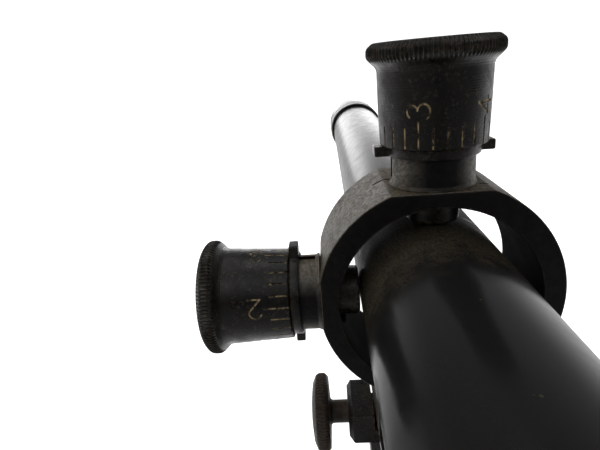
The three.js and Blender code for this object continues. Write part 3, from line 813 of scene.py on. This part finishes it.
def bow_spring():
    """Arched strip that presses the tube."""
    swing = np.linspace(-1, 1, 40)
    lines = []
    for side in (1, -1):
        radius = SPRING_CREST - SPRING_RISE * swing**2 + side * SPRING_HALF
        angle = np.radians(SPRING_ANGLE + swing * SPRING_REACH)
        lines.append(list(zip(radius * np.cos(angle), TUBE_Z / MM + radius * np.sin(angle))))
    outline = rounded(lines[0] + lines[1][::-1], 0.15, 3)
    if signed_area(outline) < 0:
        outline = outline[::-1]
    middle, half = middle_of("bow_spring").y, SPRING_WIDTH / 2
    hole = (disc(1.5, 5, 20), radial_place(middle, SPRING_ANGLE))
    spring = build("bow_spring", slab([outline], -half, half, 0.08, 2), section_place(middle), [hole])
    angle = math.radians(SPRING_ANGLE)
    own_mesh(spring)
    place = radial_place(middle_of("bow_spring_screw").y, SPRING_ANGLE)
    slotted("bow_spring_screw", place, 2.4, 1.2, 12.45, RING + GAP, RING + GAP + 1.1)


# ---------------------------------------------------------------- micrometer knobs

KNOBS = {"elevation": (Z_AXIS, X_AXIS, 27.5), "windage": (-X_AXIS, -Z_AXIS, -44.7)}


def knob_place(prefix):
    """Placement with Z out along a knob's axis, heights measured from the tube's axis."""
    up, side, _ = KNOBS[prefix]
    return placed((0, KNOB_Y, TUBE_Z), up, side)


def knob_base(prefix):
    """Height of a thimble's lower edge above the tube's axis."""
    low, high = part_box(f"{prefix}_thimble")
    return (low.z - TUBE_Z) / MM if prefix == "elevation" else -high.x / MM


def thimble(prefix, base, zero, place):
    foot = FEET[prefix]
    skirt = [(foot, 0, 0.14), ((foot + 6.56) / 2, 5, 12), (6.5, 8.7, 1.1), (7.2, 9.35, 0.3),
             (7.68, 9.9, 0.7), (7.66, 10.9, 0.8), (6.9, 11.5, 0.7), (5.7, 11.5, 0.1)]
    inside = [(4.6, 11.5, 0.2), (4.2, 11.1, 0.2), (4.2, 10.4), (2.5, 10.4), (2.5, 8.2), (5.3, 8.2),
              (5.3, 0)]
    whole = rounded([(r, h + base, *own) for r, h, *own in skirt + inside], 0.12, 6)
    outer = [p for p in whole if p[0] > 5.65]
    inner = whole[whole.index(outer[-1]) + 1:]
    profile = divided(outer, 0.085) + inner
    build(f"{prefix}_thimble", turned(profile, 800, dial(zero, base)), place)


def neck_sleeve(prefix, place):
    seat = SEATS[prefix] + GAP
    profile = [(3.6, 13.2), (4.2, 13.2), (4.2, seat - 0.28), (SLEEVE + 0.25, seat - 0.28, 0.1),
               (SLEEVE, seat + 0.25, 0.4), (SLEEVE, SLEEVE_TOP), (2.6, SLEEVE_TOP), (2.6, 15.6),
               (3.6, 15.6)]
    slot = brick((-SLEEVE - 1, -SLEEVE + 0.85), (-0.55, 0.55), (15.1, SLEEVE_TOP + 1))
    build(f"{prefix}_sleeve", turned(rounded(profile, 0.15), 128), place, [(slot, place)])


def index_ring(prefix, base, place):
    """Washer with a key inside and two ears, one of them marked."""
    low, high = base - 1.3, base - 0.1
    ear, half = 7.1, 1.2
    start = math.degrees(math.asin(half / WASHER))
    outline = arc(WASHER, start, 180 - start, 40) + [(-ear, half, 0.35), (-ear, -half, 0.35)]
    outline += arc(WASHER, 180 + start, 360 - start, 40) + [(ear, -half, 0.35), (ear, half, 0.35)]
    key = math.degrees(math.asin(0.3 / 5.3))
    bore = arc(5.3, 180 - key, -180 + key, 90) + [(-4.42, -0.3), (-4.42, 0.3)]
    shape = slab([rounded(outline, 0.3), bore], low, high, 0.15)
    mark = brick((-ear - 1, -6.1), (-0.09, 0.09), (high - 0.15, high + 1))
    build(f"{prefix}_index_ring", shape, place, [(mark, place)])


def spindle(prefix, base, place):
    top, contact = base + 9.6, TUBE + 0.1
    profile = [(0, contact), (3.25, contact, 0.5), (3.25, 13.2, 0.2), (2.2, 13.2), (2.2, top),
               (1.5, top), (1.5, top - 3.4), (0, top - 3.4)]
    build(f"{prefix}_spindle", turned(rounded(profile), 96), place)


def knob(prefix):
    base, place = knob_base(prefix), knob_place(prefix)
    thimble(prefix, base, KNOBS[prefix][2], place)
    neck_sleeve(prefix, place)
    index_ring(prefix, base, place)
    spindle(prefix, base, place)
    spring = band(2.6, 4.9, base + 7.3, base + 7.7, 0.08)
    build(f"{prefix}_click_spring", turned(spring, 96), place)
    cap = base + 10.7
    slotted(f"{prefix}_cap_screw", place, 3.4, 1.2, cap - 3.4, cap, cap + 0.8, 0.9)


# ---------------------------------------------------------------- telescope

WALL_SCREWS = {
    "erector_screw_1": (-90, 7.1, 1.5), "erector_screw_2": (-90, 7.1, 1.5),
    "reticle_screw_1": (-90, 7.8, 1.2), "reticle_screw_2": (30, 7.8, 1.2),
    "reticle_screw_3": (-30, 7.8, 1.2),
}


def wall_holes(prefix, start, margin=0.3):
    """Cutting tools for the radial holes of the wall screws whose names start with prefix."""
    return [
        (disc(radius + margin, start, 12, 32), radial_place(middle_of(node).y, angle))
        for node, (angle, _, radius) in WALL_SCREWS.items() if node.startswith(prefix)
    ]


def tube_and_screws():
    shape = turned(band(BORE, TUBE, 0, length_of("main_tube"), 0.12), 320)
    build("main_tube", shape, tube_place("main_tube"), wall_holes("", 5))
    flush = TUBE - 0.15
    for node, (angle, inner, radius) in WALL_SCREWS.items():
        place = radial_place(middle_of(node).y, angle)
        slotted(node, place, radius, radius - 0.3, inner, flush - 0.5, flush, 0.45)


def knurled_ring(node, inner, outer, radius=0.4):
    """A lock ring, straight-knurled all round."""
    length = length_of(node)
    profile = rounded([(inner, 0), (outer, 0, radius), (outer, length, radius), (inner, length)], 0.1)
    outside = divided([p for p in profile if p[0] > inner + 0.3], 0.2)
    grip = knurl(90, 0.16, 0.35, length - 0.35, outer - 0.5)
    rest = [p for p in profile if p[0] <= inner + 0.3]
    build(node, turned(outside + rest, 720, grip), tube_place(node))


def barrel(node, profile, teeth_from, teeth_to):
    """A turned barrel with one knurled band."""
    fine = []
    soft = rounded(profile, 0.15)
    for start, end in zip(soft, soft[1:] + soft[:1]):
        on_band = min(start[0], end[0]) > BARREL - 0.2
        fine += divided([start, end], 0.35 if on_band else 40)[:-1]
    grip = knurl(96, 0.14, teeth_from, teeth_to, BARREL - 0.3)
    build(node, turned(fine, 576, grip), tube_place(node))


def lens(node, rim, front, back):
    """A lens; front and back are (rim height, sagitta), a positive sagitta bulging backwards."""
    steps = 12
    radii = [rim * k / steps for k in range(steps + 1)]
    face = [(r, front[0] + front[1] * (1 - (r / rim) ** 2)) for r in radii]
    rear = [(r, back[0] + back[1] * (1 - (r / rim) ** 2)) for r in radii]
    shift = min(h for _, h in face + rear)
    profile = [(r, h - shift) for r, h in face + rear[::-1]]
    build(node, turned(profile, 96), tube_place(node))


def thin_ring(node, inner, outer):
    """A retaining ring with two slots for a key."""
    length = length_of(node)
    place = tube_place(node)
    slot = brick((-0.5, 0.5), (-20, 20), (length * 0.55, length + 1))
    build(node, turned(band(inner, outer, 0, length, 0.08), 128), place, [(slot, place)])


def objective():
    slide = BORE - GAP
    shell = [(9.1, 0), (10.3, 0), (BARREL, 0.4), (BARREL, 9.3), (10.3, 9.7), (slide, 9.7),
             (slide, 23), (7.4, 23), (7.4, 8.5), (9.1, 8.5)]
    barrel("objective_cell", shell, 4.8, 9.0)
    knurled_ring("objective_lock_ring", BORE, BARREL)
    lens("objective_crown_lens", 8.8, (-218.9, -0.9), (-217.4, 1))
    lens("objective_flint_lens", 8.8, (-217, 1), (-213.9, -0.3))
    thin_ring("objective_retainer", 7.9, 8.8)


def erector():
    slide = BORE - GAP
    cell = rounded([(slide, 0), (slide, 55), (7.6, 55), (7.6, 50), (6.9, 50), (6.9, 5), (7.6, 5),
                    (7.6, 0)], 0.12)
    build("erector_cell", turned(cell, 128), tube_place("erector_cell"), wall_holes("erector", 5))
    lens("erector_front_lens", 7.3, (47, -0.7), (49.2, 0.4))
    lens("erector_rear_lens", 7.3, (95.8, -0.4), (98, 0.7))
    thin_ring("erector_front_retainer", 6.6, 7.3)
    thin_ring("erector_rear_retainer", 6.6, 7.3)


def reticle():
    slide = BORE - GAP
    ring = rounded([(slide, 0), (slide, 5), (6.4, 5), (6.4, 1.2), (7.3, 1.2), (7.3, 0)], 0.1)
    build("reticle_ring", turned(ring, 128), tube_place("reticle_ring"), wall_holes("reticle", 7.4))
    # The hairs are notches left between four openings in a thin disc.
    hair = 0.08
    gap = math.degrees(math.asin(hair / 6.2))
    openings = []
    for quarter in range(4):
        turn = quarter * 90
        lines = arc(6.2, turn + gap, turn + 90 - gap, 24)
        inner = math.radians(turn + 45)
        corner = (hair * math.sqrt(2) * math.cos(inner), hair * math.sqrt(2) * math.sin(inner))
        openings.append(([corner] + lines)[::-1])
    outline = circle(7, 96)[::-1]
    low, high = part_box("crosshair")
    place = placed((0, low.y, TUBE_Z), Y_AXIS, X_AXIS)
    build("crosshair", slab([outline] + openings, 0, (high.y - low.y) / MM), place)


def eyepiece():
    slide = BORE - GAP
    shell = [(slide, 0), (slide, 17.3), (10.3, 17.3), (BARREL, 17.7), (BARREL, 34.2, 0.5),
             (10.3, 34.7, 0.4), (8.9, 34.7), (8.9, 27.5), (7.2, 27.5), (7.2, 5.2), (7.6, 5.2),
             (7.6, 0)]
    barrel("eyepiece_shell", shell, 18.2, 22.5)
    knurled_ring("eyepiece_lock_ring", BORE, BARREL)
    lens("field_lens", 7.3, (133.2, -0.5), (135.4, 0.4))
    thin_ring("field_lens_retainer", 6.5, 7.3)
    thin_ring("field_stop", 4.6, 6.9)
    lens("eye_lens", 8.6, (159.8, -0.6), (161.8, 0.9))
    thin_ring("eye_retainer", 7.3, 8.6)


def stop_collar():
    length = length_of("stop_collar")
    place = tube_place("stop_collar")
    centre = middle_of("stop_collar").y
    hole = (disc(1.8, 5, 20), radial_place(centre, 90))
    profile = band(TUBE + GAP, 12.2, 0, length, 0.5)
    build("stop_collar", turned(profile, 180), place, [hole])
    slotted("stop_collar_screw", radial_place(centre, 90), 2.6, 1.5, 10.2, 12.6, 14.2)


# ---------------------------------------------------------------- assembly

rear_ring()
front_ring()
front_bearing()
bow_spring()
for side in MOUNTS:
    base_block(side)
    clamp(side)
for prefix in KNOBS:
    knob(prefix)
tube_and_screws()
stop_collar()
objective()
erector()
reticle()
eyepiece()

# ---------------------------------------------------------------- camera, floor and light

CAMERA_AT = (-0.0126, -0.05871, 0.06374)
CAMERA_YAW, CAMERA_PITCH, CAMERA_ROLL = 0.0737, 0.339, -0.0868
LENS = 28.03
FLOOR_SIZE = 6.0
# Direction of each light panel, the cosines between which its edge fades, and its strength.
PANEL_BEHIND = ((-0.24, -0.6, 0.76), 0.94, 0.98, 2.2)
PANEL_ABOVE = ((-0.19, 0.28, 0.94), 0.95, 0.985, 2.6)


def make_camera():
    """A camera just above the tube, close in front of the rear ring."""
    ahead = Vector((
        -math.sin(CAMERA_YAW) * math.cos(CAMERA_PITCH),
        math.cos(CAMERA_YAW) * math.cos(CAMERA_PITCH),
        -math.sin(CAMERA_PITCH),
    ))
    level = Vector((math.cos(CAMERA_YAW), math.sin(CAMERA_YAW), 0))
    above = level.cross(ahead)
    side = math.cos(CAMERA_ROLL) * level + math.sin(CAMERA_ROLL) * above
    up = -math.sin(CAMERA_ROLL) * level + math.cos(CAMERA_ROLL) * above
    data = bpy.data.cameras.new("camera")
    data.lens, data.clip_start, data.clip_end = LENS, 0.001, 20
    camera = bpy.data.objects.new("camera", data)
    turn = Matrix((side, up, -ahead)).transposed().to_4x4()
    camera.matrix_world = Matrix.Translation(CAMERA_AT) @ turn
    bpy.context.scene.collection.objects.link(camera)
    bpy.context.scene.camera = camera


def make_floor():
    """A pale table: it is made to glow beyond the rear mount, as overexposed paper does, and its colour
    is painted darker nearer as painted shade.
    """
    mesh = bpy.data.meshes.new("floor")
    half = FLOOR_SIZE / 2
    corners = [(-half, -half, 0), (half, -half, 0), (half, half, 0), (-half, half, 0)]
    mesh.from_pydata(corners, [], [(0, 1, 2, 3)])
    floor = bpy.data.objects.new("floor", mesh)
    bpy.context.scene.collection.objects.link(floor)
    look = Look("pale_floor", Roughness=0.9)
    pale = look.mix(look.noise(40, 4), tone(0.68, 0.68, 0.67), tone(0.72, 0.72, 0.71))
    split = look.add("ShaderNodeSeparateXYZ", {0: look.place})
    # Painted shade: the floor's colour darkens towards the near side.
    shade = look.span(split.outputs["Y"], -0.3, -0.01, 0.35, 0.0)
    look.feed("Base Color", look.mix(shade, pale, tone(0.1, 0.1, 0.1)))
    # Painted light: the floor glows beyond the rear mount.
    rise = look.span(split.outputs["Y"], -0.045, 0.006)
    glow = look.times(look.maths("POWER", rise, 3.0), 0.95)
    look.feed("Emission Color", tone(1, 1, 1))
    look.feed("Emission Strength", glow)
    mesh.materials.append(look.material)


def make_world():
    """White to the camera. It lights with a backdrop ahead, two soft panels above and a dim room."""
    world = bpy.data.worlds.new("studio")
    bpy.context.scene.world = world
    world.use_nodes = True
    tree = world.node_tree
    nodes, links = tree.nodes, tree.links
    background = nodes["Background"]

    def node(kind, settings, *inputs):
        made = nodes.new(kind)
        for name, value in settings.items():
            setattr(made, name, value)
        for index, value in enumerate(inputs):
            if isinstance(value, bpy.types.NodeSocket):
                links.new(value, made.inputs[index])
            elif value is not None:
                made.inputs[index].default_value = value
        return made.outputs

    def span(value, low, high, start=0.0, end=1.0):
        settings = {"interpolation_type": "SMOOTHSTEP"}
        return node("ShaderNodeMapRange", settings, value, low, high, start, end)[0]

    def maths(operation, a, b):
        return node("ShaderNodeMath", {"operation": operation}, a, b)[0]

    way = node("ShaderNodeTexCoord", {})["Generated"]
    split = node("ShaderNodeSeparateXYZ", {}, way)
    ahead = span(split["Y"], -0.15, 0.5)
    lean = span(split["X"], -0.7, 0.7, 0.8, 1.2)
    sky = maths("ADD", span(split["Z"], 0.38, 0.0, 0.0, 0.6), span(split["Z"], 0.9, 0.35, 0.1, 0.36))
    backdrop = maths("MULTIPLY", maths("MULTIPLY", sky, ahead), lean)

    def lobe(way_to, low, high, strength):
        toward = node("ShaderNodeVectorMath", {"operation": "DOT_PRODUCT"}, way, way_to)["Value"]
        return span(toward, low, high, 0.0, strength)

    horizon = maths("MULTIPLY", span(split["Z"], 0.24, 0.1), span(split["Y"], 0.92, 0.985))
    panels = maths("ADD", lobe(*PANEL_BEHIND), lobe(*PANEL_ABOVE))
    bright = maths("ADD", maths("MULTIPLY", horizon, 4.0), panels)
    ceiling = maths("MULTIPLY", span(split["Z"], 0.25, 0.6, 0.0, 0.5), span(split["Y"], 0.35, -0.1))
    light = maths("ADD", maths("ADD", backdrop, bright), maths("ADD", ceiling, 0.05))
    seen = nodes.new("ShaderNodeLightPath").outputs["Is Camera Ray"]
    strength = node("ShaderNodeMix", {"data_type": "FLOAT"}, seen, None, light, 1.2)[0]
    background.inputs["Color"].default_value = tone(1, 1, 1)
    links.new(strength, background.inputs["Strength"])


def make_light(name, at, target, size, power):
    """A soft lamp that lights surfaces without a mirror image of itself."""
    data = bpy.data.lights.new(name, "AREA")
    data.shape, data.size, data.energy = "DISK", size, power
    lamp = bpy.data.objects.new(name, data)
    lamp.location = at
    lamp.rotation_euler = (Vector(target) - Vector(at)).to_track_quat("-Z", "Y").to_euler()
    lamp.visible_glossy = False
    lamp.visible_camera = False
    bpy.context.scene.collection.objects.link(lamp)


make_camera()
make_floor()
make_world()
make_light("overhead", (-0.16, 0.14, 0.34), (0, 0, 0.04), 0.3, 0.6)
bpy.context.scene.view_settings.view_transform = "Standard"
